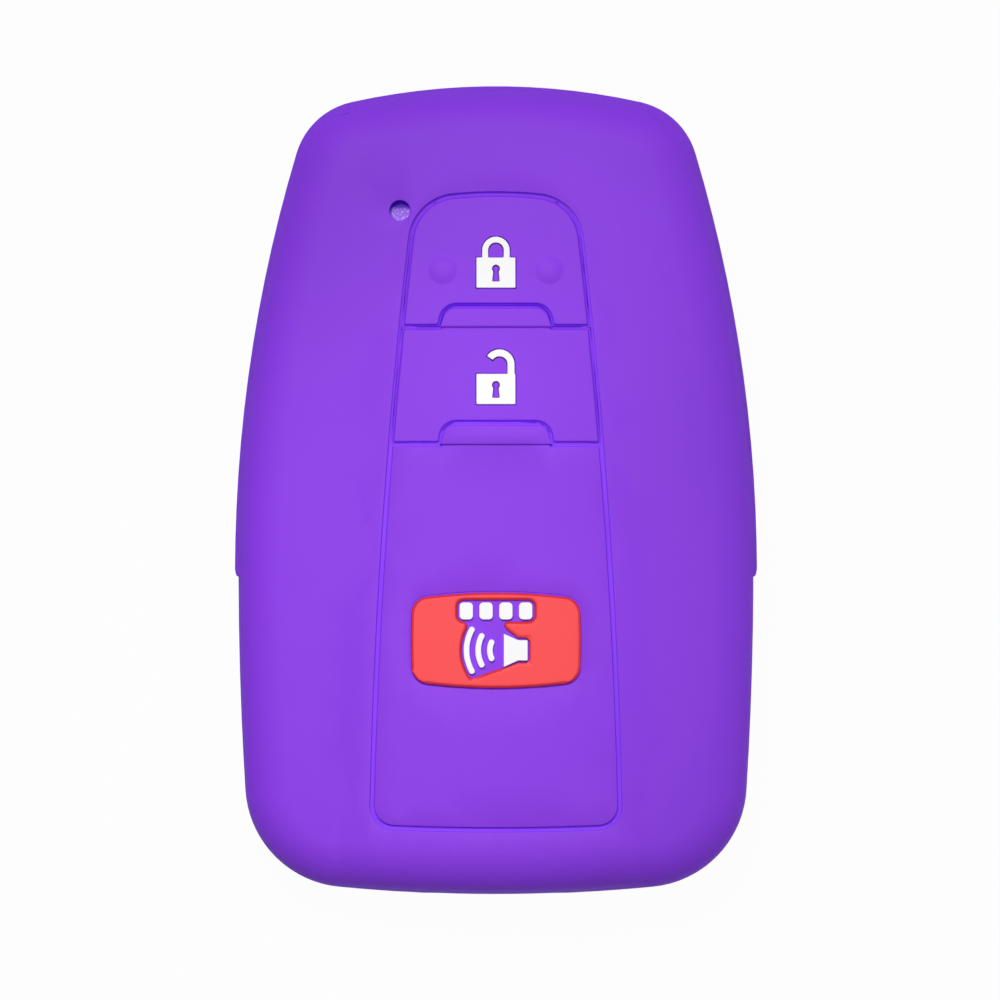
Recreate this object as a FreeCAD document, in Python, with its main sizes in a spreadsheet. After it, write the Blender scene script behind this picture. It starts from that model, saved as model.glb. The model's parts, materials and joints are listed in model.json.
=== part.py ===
# Silicone cover for a car's smart key: a moulded sleeve with three press zones, a red pad and white icons.
# The cover lies on its back: +Z points out of the front face, +Y to its top end, z = 0 is the back face.
import FreeCAD, Part
import math
import os
import re

import Sketcher
from FreeCAD import Vector

doc = FreeCAD.newDocument("key_fob_cover")
sizes = doc.addObject("Spreadsheet::Sheet", "sizes")

DRIVING_SIZES = [
    # Outline seen from the front
    ("cover_length", 78.0, "overall length, over the belt"),
    ("cover_width", 50.36, "overall width, over the belt"),
    ("belt_proud", 0.33, "how far the belt stands out of the side wall"),
    ("widest_drop", 8.0, "widest place, below the middle of the length"),
    ("side_upper_radius", 141.0, "side curve above the widest place"),
    ("side_lower_radius", 340.0, "side curve below the widest place"),
    ("top_radius", 64.0, "curve of the top end"),
    ("bottom_radius", 160.0, "curve of the bottom end"),
    ("top_corner", 6.8, "corner radius at the top end"),
    ("bottom_corner", 10.0, "corner radius at the bottom end"),
    # Crowned front: the shoulder all round, the button panel, and the sloping band between them
    ("cover_height", 16.5, "height of the button panel's crown above the back"),
    ("shoulder_drop", 0.61, "shoulder's crown below the panel's crown"),
    ("band_lift", 0.9, "crown that the band's slope belongs to, above the panel's crown"),
    ("panel_cross_radius", 120.0, "panel's curve across"),
    ("panel_long_radius", 357.0, "panel's curve lengthwise"),
    ("panel_peak_drop", 2.4, "panel's highest place, below the middle of the length"),
    ("band_cross_radius", 45.0, "band's curve across"),
    ("band_long_radius", 327.0, "band's curve lengthwise"),
    ("band_peak_drop", 5.7, "band's highest place, below the middle of the length"),
    ("shoulder_cross_radius", 190.0, "shoulder's curve across"),
    ("shoulder_long_radius", 400.0, "shoulder's curve lengthwise"),
    ("shoulder_peak_drop", -3.0, "shoulder's highest place, below the middle of the length"),
    ("band_margin", 0.1, "band's body inside the outline"),
    ("panel_margin", 0.2, "panel's body inside the outline"),
    ("front_roll", 5.0, "rounding from the front into the sides"),
    ("back_roll", 3.0, "rounding from the back into the sides"),
    ("wall", 1.6, "silicone wall"),
    # Belt round the top end and the sides
    ("belt_low", 4.0, "belt's lower edge above the back"),
    ("belt_high", 11.9, "belt's upper edge above the back"),
    ("belt_end_drop", 8.3, "belt's ends, below the middle of the length"),
    ("belt_ledge", 1.0, "slope on top of the belt, across"),
    ("belt_slope", 1.7, "slope on top of the belt, height"),
    ("belt_bevel", 0.2, "bevel of the belt's lower edge"),
    # Back
    ("window_width", 34.0, "back window across"),
    ("window_top", 7.0, "back window's upper edge, above the middle of the length"),
    ("window_bottom", 29.5, "back window's lower edge, below the middle of the length"),
    ("window_corner", 7.0, "back window's corner radius"),
    ("window_bevel", 0.4, "bevel of the back window's outer edge"),
    ("slot_width", 16.0, "key ring's slot across"),
    ("slot_height", 5.2, "key ring's slot, height"),
    ("slot_level", 7.2, "middle of the key ring's slot above the back"),
    ("slot_reach", 6.5, "how far the slot's cut goes in from the bottom end"),
    # Button panel
    ("panel_top", 28.5, "panel groove's upper end, above the middle of the length"),
    ("panel_bottom", 32.6, "panel groove's lower end, below the middle of the length"),
    ("panel_top_width", 15.5, "panel across its upper corners"),
    ("panel_bottom_width", 23.9, "panel across its lower corners"),
    ("panel_top_bow", 0.75, "crown of the panel's upper edge"),
    ("panel_bottom_bow", 0.3, "crown of the panel's lower edge"),
    ("panel_side_radius", 600.0, "curve of the panel's sides"),
    ("panel_top_corner", 4.5, "corner radius at the panel's upper end"),
    ("panel_bottom_corner", 2.1, "corner radius at the panel's lower end"),
    ("groove_width", 0.45, "groove round the panel and between the press zones"),
    ("groove_depth", 0.4, "depth of that groove"),
    ("slit", 0.04, "running gap round a press zone, in the floor of the groove"),
    ("press_travel", 0.7, "how far a press zone goes down"),
    ("press_stop", 0.05, "air left under a press zone that is down"),
    ("web", 0.25, "silicone left under a press zone's well"),
    ("lock_line", 15.7, "groove under the lock zone, above the middle of the length"),
    ("unlock_line", 4.45, "groove under the unlock zone, above the middle of the length"),
    ("bar_base_width", 10.8, "finger bar across its foot"),
    ("bar_top_width", 9.4, "finger bar across its upper edge"),
    ("bar_height", 1.8, "finger bar, from its groove to its upper edge"),
    ("bar_corner", 1.2, "corner radius of the finger bar"),
    ("bar_lap", 1.2, "length of the finger bar's root inside its zone"),
    ("bar_rise", 0.38, "finger bar above the panel"),
    ("dome_width", 2.7, "touch dome across"),
    ("dome_rise", 0.3, "touch dome above the panel"),
    ("dome_spacing", 10.0, "touch domes, middle to middle"),
    ("dome_level", 21.0, "touch domes above the middle of the length"),
    ("light_width", 2.0, "recess over the key's light, across"),
    ("light_floor", 0.5, "silicone left under that recess"),
    ("light_side", 9.23, "that recess, left of the middle"),
    ("light_level", 26.9, "that recess, above the middle of the length"),
    # Padlock icons
    ("icon_rise", 0.2, "padlock icons above the panel"),
    ("bond_line", 0.02, "film between an inlay and what carries it"),
    ("padlock_width", 3.75, "padlock's body across"),
    ("padlock_height", 2.92, "padlock's body, height"),
    ("padlock_corner", 0.1, "corner radius of the padlock's body"),
    ("lock_icon_level", 19.45, "foot of the closed padlock, above the middle of the length"),
    ("unlock_icon_level", 8.27, "foot of the open padlock, above the middle of the length"),
    ("shackle_width", 2.65, "closed shackle across"),
    ("shackle_stroke", 0.58, "thickness of the closed shackle"),
    ("shackle_leg", 0.68, "straight leg of the closed shackle above the body"),
    ("open_shackle_width", 2.9, "open shackle across"),
    ("open_shackle_stroke", 0.68, "thickness of the open shackle"),
    ("open_shackle_side", 0.34, "middle of the open shackle, right of the body's middle"),
    ("open_shackle_lift", 0.9, "middle of the open shackle above the body"),
    ("open_shackle_turn", 146.0, "angle at the open shackle's free end, in degrees"),
    ("keyhole_width", 0.74, "keyhole's round part across"),
    ("keyhole_rise", 1.84, "middle of the keyhole's round part above the body's foot"),
    ("keyhole_foot_width", 0.72, "keyhole's foot across"),
    ("keyhole_waist_width", 0.44, "keyhole's waist across"),
    ("keyhole_foot_rise", 0.62, "keyhole's foot above the body's foot"),
    # Panic pad and its inlays
    ("panic_width", 16.36, "panic pad across"),
    ("panic_height", 9.2, "panic pad, height"),
    ("panic_drop", 14.4, "middle of the panic pad, below the middle of the length"),
    ("panic_bow", 0.6, "crown of the panic pad's upper and lower edges"),
    ("panic_side_bow", 0.12, "crown of the panic pad's side edges"),
    ("panic_corner", 1.7, "corner radius of the panic pad"),
    ("panic_moat", 0.12, "groove round the panic pad"),
    ("red_rise", 0.5, "red layer above the panic pad"),
    ("red_margin", 0.2, "red layer's window round the white inlays"),
    ("red_window_turn", 37.0, "that window's lower angle round the sound waves, in degrees"),
    ("red_window_upper_turn", 28.0, "that window's upper angle round the sound waves, in degrees"),
    ("red_flare", 0.6, "that window above the loudspeaker's wide end, past the margin"),
    ("speaker_foot_side", 0.75, "loudspeaker's wide end, right of the middle"),
    ("speaker_neck_side", 2.13, "loudspeaker's neck, right of the middle"),
    ("speaker_back_side", 3.04, "loudspeaker's back, right of the middle"),
    ("speaker_wide", 3.2, "height of the loudspeaker's wide end"),
    ("speaker_narrow", 1.95, "height of the loudspeaker's back"),
    ("speaker_drop", 0.95, "middle of the loudspeaker, below the pad's middle"),
    ("wave_side", 1.26, "middle of the sound waves, right of the pad's middle"),
    ("wave_first_radius", 1.85, "smallest sound wave"),
    ("wave_step", 1.12, "from one sound wave to the next"),
    ("wave_stroke", 0.56, "thickness of a sound wave"),
    ("wave_half_turn", 33.0, "half of a sound wave's angle, in degrees"),
    ("mark_width", 1.3, "hold mark across"),
    ("mark_height", 1.65, "hold mark, height"),
    ("mark_pitch", 1.9, "hold marks, middle to middle"),
    ("mark_rise", 2.83, "middle of the hold marks above the pad's middle"),
    ("mark_corner", 0.4, "corner radius of a hold mark"),
    # One overrun for every cut
    ("overrun", 2.0, "how far a cutting body runs past what it cuts"),
]

for row, (alias, number, meaning) in enumerate(DRIVING_SIZES, start=1):
    sizes.set(f"A{row}", meaning)
    sizes.set(f"B{row}", str(number))
    sizes.setAlias(f"B{row}", alias)
doc.recompute()

ALIAS_WORD = re.compile(r"\b(" + "|".join(alias for alias, _, _ in DRIVING_SIZES) + r")\b")
LEVEL_SHARE = 0.9
NEAR = 0.001
BLOCK_WIDTH_SHARE = 0.67
ARCH_SPLIT_DEGREES = 45
CORE_BEVEL_SHARE = 0.6
STROKE_END_SHARE = 0.45
WAVE_COUNT = 3
MARK_COUNT = 4

# Places that several pieces share, as expressions on the sheet
BODY_HALF_WIDTH = "(cover_width / 2 - belt_proud)"
BODY_TOP = "(cover_length / 2 - belt_proud)"
BODY_BOTTOM = "(cover_length / 2)"
SHOULDER_TOP = "(cover_height - shoulder_drop)"
BAND_TOP = "(cover_height + band_lift)"
PRISM_FOOT = "cover_height / 2"
PRISM_HEIGHT = "cover_height"
PANEL_CROWN = ("cover_height", "panel_cross_radius", "panel_long_radius", "panel_peak_drop")
BAND_CROWN = (BAND_TOP, "band_cross_radius", "band_long_radius", "band_peak_drop")
SHOULDER_CROWN = (SHOULDER_TOP, "shoulder_cross_radius", "shoulder_long_radius", "shoulder_peak_drop")


def on_sheet(text):
    """Puts the sheet's name before each alias of an expression."""
    return ALIAS_WORD.sub(r"sizes.\1", text)


def value(text):
    """The number that an expression gives with the sheet's sizes."""
    return float(sizes.evalExpression(on_sheet(text)))


def bind(thing, where, text):
    """Ties a property to an expression on the sheet."""
    thing.setExpression(where, on_sheet(text))


# Sketches

def new_sketch(body, name, plane="XY_Plane", offset=None):
    """A sketch on one of the body's own origin planes, moved along the plane's normal."""
    sketch = body.newObject("Sketcher::SketchObject", name)
    support = [feature for feature in body.Origin.OriginFeatures if feature.Role == plane][0]
    sketch.AttachmentSupport = [(support, "")]
    sketch.MapMode = "FlatFace"
    if offset:
        bind(sketch, ".AttachmentOffset.Base.z", offset)
    return sketch


def pin(sketch, geometry, point, x=None, y=None):
    """Ties a point's coordinates to expressions."""
    for kind, text in (("DistanceX", x), ("DistanceY", y)):
        if text is not None:
            index = sketch.addConstraint(Sketcher.Constraint(kind, -1, 1, geometry, point, value(text)))
            bind(sketch, f"Constraints[{index}]", text)


def pin_radius(sketch, geometry, text):
    """Ties an arc's or a circle's radius to an expression."""
    index = sketch.addConstraint(Sketcher.Constraint("Radius", geometry, value(text)))
    bind(sketch, f"Constraints[{index}]", text)


def arc_about(centre, start, end):
    """The counter-clockwise arc about a centre from one point to another."""
    first = math.atan2(start.y - centre.y, start.x - centre.x)
    last = math.atan2(end.y - centre.y, end.x - centre.x)
    circle = Part.Circle(centre, Vector(0, 0, 1), (start - centre).Length)
    return Part.ArcOfCircle(circle, first, last if last > first else last + 2 * math.pi)


def bowed_centre(start, end, radius):
    """The centre of the arc that bulges to the right of the way from start to end."""
    chord = end - start
    left = Vector(-chord.y, chord.x, 0).normalize()
    return (start + end) * 0.5 + left * math.sqrt(max(radius ** 2 - chord.Length ** 2 / 4, 0))


def draw_loop(sketch, corners, bows=None, hollows=None):
    """A closed counter-clockwise outline: straight edges, edges that bow out and edges that bow in."""
    bows = bows or {}
    hollows = hollows or {}
    points = [Vector(value(x), value(y), 0) for x, y in corners]
    ends = []
    for number, start in enumerate(points):
        end = points[(number + 1) % len(points)]
        if number in bows:
            arc = arc_about(bowed_centre(start, end, value(bows[number])), start, end)
            ends.append((sketch.addGeometry(arc, False), 1, 2))
        elif number in hollows:
            arc = arc_about(bowed_centre(end, start, value(hollows[number])), end, start)
            ends.append((sketch.addGeometry(arc, False), 2, 1))
        else:
            ends.append((sketch.addGeometry(Part.LineSegment(start, end), False), 1, 2))
    for number, (geometry, first, last) in enumerate(ends):
        after, after_first, _ = ends[(number + 1) % len(ends)]
        sketch.addConstraint(Sketcher.Constraint("Coincident", geometry, last, after, after_first))
        pin(sketch, geometry, first, *corners[number])
    for number, radius in list(bows.items()) + list(hollows.items()):
        pin_radius(sketch, ends[number][0], radius)


def draw_circle(sketch, x, y, radius):
    """A circle at a place."""
    circle = Part.Circle(Vector(value(x), value(y), 0), Vector(0, 0, 1), value(radius))
    geometry = sketch.addGeometry(circle, False)
    pin(sketch, geometry, 3, x, y)
    pin_radius(sketch, geometry, radius)


# Features

def named_edges(shape, wanted):
    """The names of the edges that a test picks."""
    return [f"Edge{number}" for number, edge in enumerate(shape.Edges, start=1) if wanted(edge)]


def pad(body, sketch, length, taper=None):
    """Pads a sketch upwards, straight or with a taper."""
    feature = body.newObject("PartDesign::Pad", f"{sketch.Name}_pad")
    feature.Profile = sketch
    bind(feature, "Length", length)
    if taper:
        bind(feature, "TaperAngle", taper)
    doc.recompute()
    return feature


def pocket_through(body, sketch):
    """Cuts a sketch through everything above it."""
    before = body.Shape.Volume
    feature = body.newObject("PartDesign::Pocket", f"{sketch.Name}_pocket")
    feature.Profile = sketch
    feature.Type = "ThroughAll"
    feature.Reversed = True
    doc.recompute()
    if not body.Shape.Volume < before:
        raise RuntimeError(f"{sketch.Name} cuts nothing")


def fillet(body, name, radius, wanted):
    """Rounds the edges of the body's last feature that a test picks."""
    base = body.Tip
    feature = body.newObject("PartDesign::Fillet", name)
    feature.Base = (base, named_edges(base.Shape, wanted))
    bind(feature, "Radius", radius)
    doc.recompute()
    return feature


def chamfer(body, name, size, wanted):
    """Bevels the edges of the body's last feature that a test picks."""
    base = body.Tip
    feature = body.newObject("PartDesign::Chamfer", name)
    feature.Base = (base, named_edges(base.Shape, wanted))
    bind(feature, "Size", size)
    doc.recompute()
    return feature


def is_upright(edge):
    """True for a straight edge along Z."""
    return edge.Curve.TypeId == "Part::GeomLine" and abs(edge.tangentAt(edge.FirstParameter).z) > LEVEL_SHARE


def upright_at(corners):
    """A test for the upright edges at the given corners of an outline."""
    places = [(value(x), value(y)) for x, y in corners]

    def wanted(edge):
        at = edge.Vertexes[0].Point
        return is_upright(edge) and any(math.hypot(at.x - x, at.y - y) < NEAR for x, y in places)
    return wanted


def level_faces(shape, side):
    """The faces that lie about level, in the upper (1) or the lower (-1) half of a shape."""
    def is_level(face):
        first_u, last_u, first_v, last_v = face.ParameterRange
        return abs(face.normalAt((first_u + last_u) / 2, (first_v + last_v) / 2).z) > LEVEL_SHARE
    middle = shape.Solids[0].CenterOfMass.z
    return [face for face in shape.Faces if is_level(face) and (face.CenterOfMass.z - middle) * side > 0]


def rim(body, side):
    """A test for the edges round the upper (1) or the lower (-1) faces of a body's last feature."""
    edges = [edge for face in level_faces(body.Tip.Shape, side) for edge in face.Edges]
    return lambda edge: sum(edge.isSame(other) for other in edges) == 1


def prism(name, corners, bows=None, hollows=None, rounded=(), foot=PRISM_FOOT, height=PRISM_HEIGHT):
    """An upright body of an outline, with some of its corners rounded: (radius, corner numbers) pairs."""
    body = doc.addObject("PartDesign::Body", name)
    sketch = new_sketch(body, f"{name}_outline", offset=foot)
    draw_loop(sketch, corners, bows, hollows)
    pad(body, sketch, height)
    for number, (radius, which) in enumerate(rounded):
        fillet(body, f"{name}_corners_{number}", radius, upright_at([corners[index] for index in which]))
    return body


def boolean(kind, name, **links):
    """A Part boolean of other objects."""
    result = doc.addObject(f"Part::{kind}", name)
    for link, thing in links.items():
        setattr(result, link, thing)
    doc.recompute()
    return result


def cut(name, base, tool):
    """What is left of base outside tool."""
    return boolean("Cut", name, Base=base, Tool=tool)


def common(name, base, tool):
    """What base and tool share."""
    return boolean("Common", name, Base=base, Tool=tool)


def fuse(name, *shapes):
    """Several objects as one."""
    return boolean("MultiFuse", name, Shapes=list(shapes), Refine=True)


def slab(name, low, high):
    """A block over the whole width of the panel between two levels along Y."""
    block = doc.addObject("Part::Box", name)
    bind(block, "Length", "cover_width")
    bind(block, "Width", f"({high}) - ({low})")
    bind(block, "Height", PRISM_HEIGHT)
    bind(block, ".Placement.Base.x", "-cover_width / 2")
    bind(block, ".Placement.Base.y", low)
    bind(block, ".Placement.Base.z", PRISM_FOOT)
    return block


# Crowned bodies

def draw_cover_outline(sketch, inset):
    """The cover's outline: bowed ends, sides of two arcs that meet at the widest place, and round corners."""
    widest_y = "-widest_drop"
    right_x = f"{BODY_HALF_WIDTH} - ({inset})"
    middles = {"top": f"{BODY_TOP} - top_radius", "bottom": f"bottom_radius - {BODY_BOTTOM}"}
    curves = ("side_upper_radius", "side_lower_radius", "top_radius", "bottom_radius",
              "top_corner", "bottom_corner")
    radii = {size: f"{size} - ({inset})" for size in curves}
    reach = {size: value(text) for size, text in radii.items()}
    widest = Vector(value(right_x), value(widest_y), 0)
    arcs = {}
    for end, side, turn in (("top", "side_upper_radius", 1), ("bottom", "side_lower_radius", -1)):
        corner = f"{end}_corner"
        side_centre = widest - Vector(reach[side], 0, 0)
        end_centre = Vector(0, value(middles[end]), 0)
        corner_centre = crossing(side_centre, reach[side] - reach[corner],
                                 end_centre, reach[f"{end}_radius"] - reach[corner], turn)
        side_end = side_centre + (corner_centre - side_centre).normalize() * reach[side]
        end_start = end_centre + (corner_centre - end_centre).normalize() * reach[f"{end}_radius"]
        arcs[end] = (side_centre, side_end, corner_centre, end_start, end_centre)

    def across(point):
        return Vector(-point.x, point.y, 0)
    side_centre, side_end, corner_centre, end_start, end_centre = arcs["top"]
    low_side_centre, low_side_end, low_corner_centre, low_end_start, low_end_centre = arcs["bottom"]
    loop = [
        ("side_upper_radius", arc_about(side_centre, widest, side_end)),
        ("top_corner", arc_about(corner_centre, side_end, end_start)),
        ("top_radius", arc_about(end_centre, end_start, across(end_start))),
        ("top_corner", arc_about(across(corner_centre), across(end_start), across(side_end))),
        ("side_upper_radius", arc_about(across(side_centre), across(side_end), across(widest))),
        ("side_lower_radius", arc_about(across(low_side_centre), across(widest), across(low_side_end))),
        ("bottom_corner", arc_about(across(low_corner_centre), across(low_side_end), across(low_end_start))),
        ("bottom_radius", arc_about(low_end_centre, across(low_end_start), low_end_start)),
        ("bottom_corner", arc_about(low_corner_centre, low_end_start, low_side_end)),
        ("side_lower_radius", arc_about(low_side_centre, low_side_end, widest)),
    ]
    lines = [sketch.addGeometry(arc, False) for _, arc in loop]
    for number, line in enumerate(lines):
        sketch.addConstraint(Sketcher.Constraint("Tangent", line, 2, lines[(number + 1) % len(lines)], 1))
        pin_radius(sketch, line, radii[loop[number][0]])
    pin(sketch, lines[0], 1, right_x, widest_y)
    pin(sketch, lines[5], 1, f"-({right_x})", widest_y)
    pin(sketch, lines[0], 3, y=widest_y)
    pin(sketch, lines[5], 3, y=widest_y)
    pin(sketch, lines[2], 3, "0", middles["top"])
    pin(sketch, lines[7], 3, "0", middles["bottom"])


def crossing(centre, radius, other, other_radius, side):
    """Where two circles cross, on the upper (1) or the lower (-1) side, right of the middle."""
    way = other - centre
    along = (way.Length ** 2 + radius ** 2 - other_radius ** 2) / (2 * way.Length)
    off = math.sqrt(radius ** 2 - along ** 2)
    unit = way.normalize()
    both = [centre + unit * along + Vector(-unit.y, unit.x, 0) * off * sign for sign in (1, -1)]
    return max((point for point in both if point.x > 0), key=lambda point: point.y * side)


def cut_crown(body, name, crown, lift):
    """Cuts a body down to a crown: a loft through three cross arcs whose tops lie on a lengthwise arc."""
    top, cross_radius, long_radius, peak_drop = crown
    before = body.Shape.Volume
    half = "(cover_width / 2 + overrun)"
    radius = f"({cross_radius} + ({lift}))"
    sky = "2 * cover_height"
    sections = []
    for number, y in enumerate(("-(cover_length / 2 + overrun)", "0", "(cover_length / 2 + overrun)")):
        peak = f"{top} + ({lift}) - {long_radius} + sqrt({long_radius} ^ 2 - ({y} + {peak_drop}) ^ 2)"
        edge = f"{peak} - {radius} + sqrt({radius} ^ 2 - {half} ^ 2)"
        sketch = new_sketch(body, f"{name}_crown_{number}", "XZ_Plane", f"-{y}")
        corners = [(f"-{half}", edge), (half, edge), (half, sky), (f"-{half}", sky)]
        draw_loop(sketch, corners, hollows={0: radius})
        sections.append(sketch)
    feature = body.newObject("PartDesign::SubtractiveLoft", f"{name}_cut")
    feature.Profile = sections[0]
    feature.Sections = sections[1:]
    doc.recompute()
    if not body.Shape.Volume < before:
        raise RuntimeError(f"{name} has no crown")


def sleeve_form(name, inset, crown, lift, front_edge, back_edge, finish=fillet):
    """A body of the cover's outline with a crowned front and rounded or bevelled edges."""
    body = doc.addObject("PartDesign::Body", name)
    sketch = new_sketch(body, f"{name}_outline", offset=inset)
    draw_cover_outline(sketch, inset)
    pad(body, sketch, f"cover_height + overrun - ({inset})")
    cut_crown(body, name, crown, lift)
    finish(body, f"{name}_front_edge", front_edge, rim(body, 1))
    finish(body, f"{name}_back_edge", back_edge, rim(body, -1))
    return body


def crown_block(name, lift, crown=PANEL_CROWN):
    """A block over the panel whose top is a crown, raised by lift."""
    body = doc.addObject("PartDesign::Body", name)
    sketch = new_sketch(body, f"{name}_outline", offset=PRISM_FOOT)
    right = f"cover_width / 2 * {BLOCK_WIDTH_SHARE}"
    top = "cover_length / 2"
    draw_loop(sketch, [(f"-{right}", f"-{top}"), (right, f"-{top}"), (right, top), (f"-{right}", top)])
    pad(body, sketch, PRISM_HEIGHT)
    cut_crown(body, name, crown, lift)
    return body


shoulder_form = sleeve_form("shoulder_form", "0", SHOULDER_CROWN, "0", "front_roll", "back_roll")
panel_form = sleeve_form("panel_form", "panel_margin", PANEL_CROWN, "0",
                         "front_roll", "back_roll - panel_margin")
band_form = sleeve_form("band_form", "band_margin", BAND_CROWN, "0",
                        "front_roll", "back_roll - band_margin")
core_form = sleeve_form("core_form", "wall", SHOULDER_CROWN, "-wall",
                        f"(front_roll - wall) * {CORE_BEVEL_SHARE}",
                        f"(back_roll - wall) * {CORE_BEVEL_SHARE}", chamfer)
raised_form = common("raised_form", panel_form, band_form)

# Belt: a band round the top end and both sides, with a slope on top and a bevel below
belt_ring = doc.addObject("PartDesign::Body", "belt_ring")
belt_sketch = new_sketch(belt_ring, "belt_outline", offset="belt_low")
draw_cover_outline(belt_sketch, "-belt_proud")
pad(belt_ring, belt_sketch, "belt_high - belt_slope - belt_low")
ledge_sketch = new_sketch(belt_ring, "belt_ledge_outline", offset="belt_high - belt_slope")
draw_cover_outline(ledge_sketch, "-belt_proud")
pad(belt_ring, ledge_sketch, "belt_slope", "-atan(belt_ledge / belt_slope)")
belt_trim = new_sketch(belt_ring, "belt_trim", offset="belt_low")
draw_loop(belt_trim, [
    ("-cover_width", "-cover_length"), ("cover_width", "-cover_length"),
    ("cover_width", "-belt_end_drop"), ("-cover_width", "-belt_end_drop")])
pocket_through(belt_ring, belt_trim)
chamfer(belt_ring, "belt_lower_edge", "belt_bevel", rim(belt_ring, -1))

outer_form = fuse("outer_form", shoulder_form, raised_form, belt_ring)
sleeve_wall = cut("sleeve_wall", outer_form, core_form)

# Blocks whose tops follow the panel's crown, or the shoulder's crown inside the wall, and layers between them
panel_level = crown_block("panel_level", "0")
groove_floor = crown_block("groove_floor", "-groove_depth")
well_floor = crown_block("well_floor", "web - wall", SHOULDER_CROWN)
pad_foot = crown_block("pad_foot", "web + press_travel + press_stop - wall", SHOULDER_CROWN)
press_layer = cut("press_layer", panel_level, pad_foot)
step_layer = cut("step_layer", groove_floor, pad_foot)
bar_level = crown_block("bar_level", "bar_rise")
bond_level = crown_block("bond_level", "bond_line")
icon_film = cut("icon_film", crown_block("icon_level", "icon_rise"), bond_level)
red_film = cut("red_film", crown_block("red_level", "red_rise"), bond_level)
light_level_block = crown_block("light_level_block", "light_floor - wall", SHOULDER_CROWN)


# Press zones

def panel_prism(name, gap):
    """The button panel's outline, inside the middle of its groove by gap."""
    top_x = f"panel_top_width / 2 - ({gap})"
    low_x = f"panel_bottom_width / 2 - ({gap})"
    top_y = f"panel_top - panel_top_bow - ({gap})"
    low_y = f"-(panel_bottom - panel_bottom_bow - ({gap}))"
    corners = [(f"-({low_x})", low_y), (low_x, low_y), (top_x, top_y), (f"-({top_x})", top_y)]
    bows = {
        0: f"(({low_x}) ^ 2 + panel_bottom_bow ^ 2) / (2 * panel_bottom_bow)",
        1: f"panel_side_radius - ({gap})",
        2: f"(({top_x}) ^ 2 + panel_top_bow ^ 2) / (2 * panel_top_bow)",
        3: f"panel_side_radius - ({gap})",
    }
    rounded = ((f"panel_bottom_corner - ({gap})", (0, 1)), (f"panel_top_corner - ({gap})", (2, 3)))
    return prism(name, corners, bows, rounded=rounded)


def bar_prism(name, line, grow, low):
    """The finger bar's outline above a groove, grown all round."""
    base_x = f"bar_base_width / 2 + ({grow})"
    top_x = f"bar_top_width / 2 + ({grow})"
    top_y = f"{line} + bar_height + ({grow})"
    corners = [(f"-({base_x})", low), (base_x, low), (top_x, top_y), (f"-({top_x})", top_y)]
    return prism(name, corners, rounded=((f"bar_corner + ({grow})", (2, 3)),))


def lock_zone(name, gap, layer=None):
    """The lock zone, inside the middle of its groove by gap, with a notch for the bar below it."""
    area = common(f"{name}_area", panel_prism(f"{name}_panel", gap),
                  slab(f"{name}_slab", f"lock_line + ({gap})", "cover_length"))
    notch = bar_prism(f"{name}_notch", "lock_line", f"({gap}) + groove_width / 2", "lock_line - bar_lap")
    return cut(name, within(area, layer), notch)


def unlock_zone(name, gap, layer=None):
    """The unlock zone, with its own bar above and a notch for the bar below it."""
    area = common(f"{name}_area", panel_prism(f"{name}_panel", gap),
                  slab(f"{name}_slab", f"unlock_line + ({gap})", f"lock_line - ({gap})"))
    bar = bar_prism(f"{name}_bar", "lock_line", f"groove_width / 2 - ({gap})", "lock_line - bar_lap")
    notch = bar_prism(f"{name}_notch", "unlock_line", f"({gap}) + groove_width / 2", "unlock_line - bar_lap")
    return cut(name, within(fuse(f"{name}_with_bar", area, bar), layer), notch)


def within(solid, layer):
    """The part of a solid inside a curved layer, or all of it."""
    return common(f"{solid.Name}_layer", solid, layer) if layer else solid


def panic_prism(name, grow):
    """The panic pad's outline with four bowed edges, grown all round."""
    right = f"panic_width / 2 - panic_side_bow + ({grow})"
    up = f"panic_height / 2 - panic_bow + ({grow})"
    low_y = f"-panic_drop - ({up})"
    top_y = f"-panic_drop + ({up})"
    corners = [(f"-({right})", low_y), (right, low_y), (right, top_y), (f"-({right})", top_y)]
    flat = f"(({right}) ^ 2 + panic_bow ^ 2) / (2 * panic_bow)"
    side = f"(({up}) ^ 2 + panic_side_bow ^ 2) / (2 * panic_side_bow)"
    rounded = ((f"panic_corner + ({grow})", (0, 1, 2, 3)),)
    return prism(name, corners, {0: flat, 1: side, 2: flat, 3: side}, rounded=rounded)


def crown_height(x, y):
    """The panel's height above the back at a place, as an expression."""
    top, cross_radius, long_radius, peak_drop = PANEL_CROWN
    lengthwise = f"{long_radius} - sqrt({long_radius} ^ 2 - (({y}) + {peak_drop}) ^ 2)"
    return f"{top} - ({lengthwise}) - {cross_radius} + sqrt({cross_radius} ^ 2 - ({x}) ^ 2)"


def raised_bar(name, line):
    """The finger bar's relief, from the groove's floor to the bar's top."""
    block = common(f"{name}_block", bar_prism(f"{name}_outline", line, "0", line), bar_level)
    return cut(name, block, groove_floor)


def touch_dome(name, side):
    """A shallow dome on the lock zone: the upper half of a ball whose cap stands above the panel."""
    ball_radius = "(dome_width ^ 2 / 4 + dome_rise ^ 2) / (2 * dome_rise)"
    x = f"{side} * dome_spacing / 2"
    ball = doc.addObject("Part::Sphere", f"{name}_ball")
    ball.Angle1 = 0
    bind(ball, "Radius", ball_radius)
    bind(ball, ".Placement.Base.x", x)
    bind(ball, ".Placement.Base.y", "dome_level")
    bind(ball, ".Placement.Base.z", f"{crown_height(x, 'dome_level')} + dome_rise - ({ball_radius})")
    return cut(name, ball, groove_floor)


PAD_GAP = "groove_width / 2"
STEP_GAP = "slit / 2"
WELL_GAP = "-slit / 2"

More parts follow.
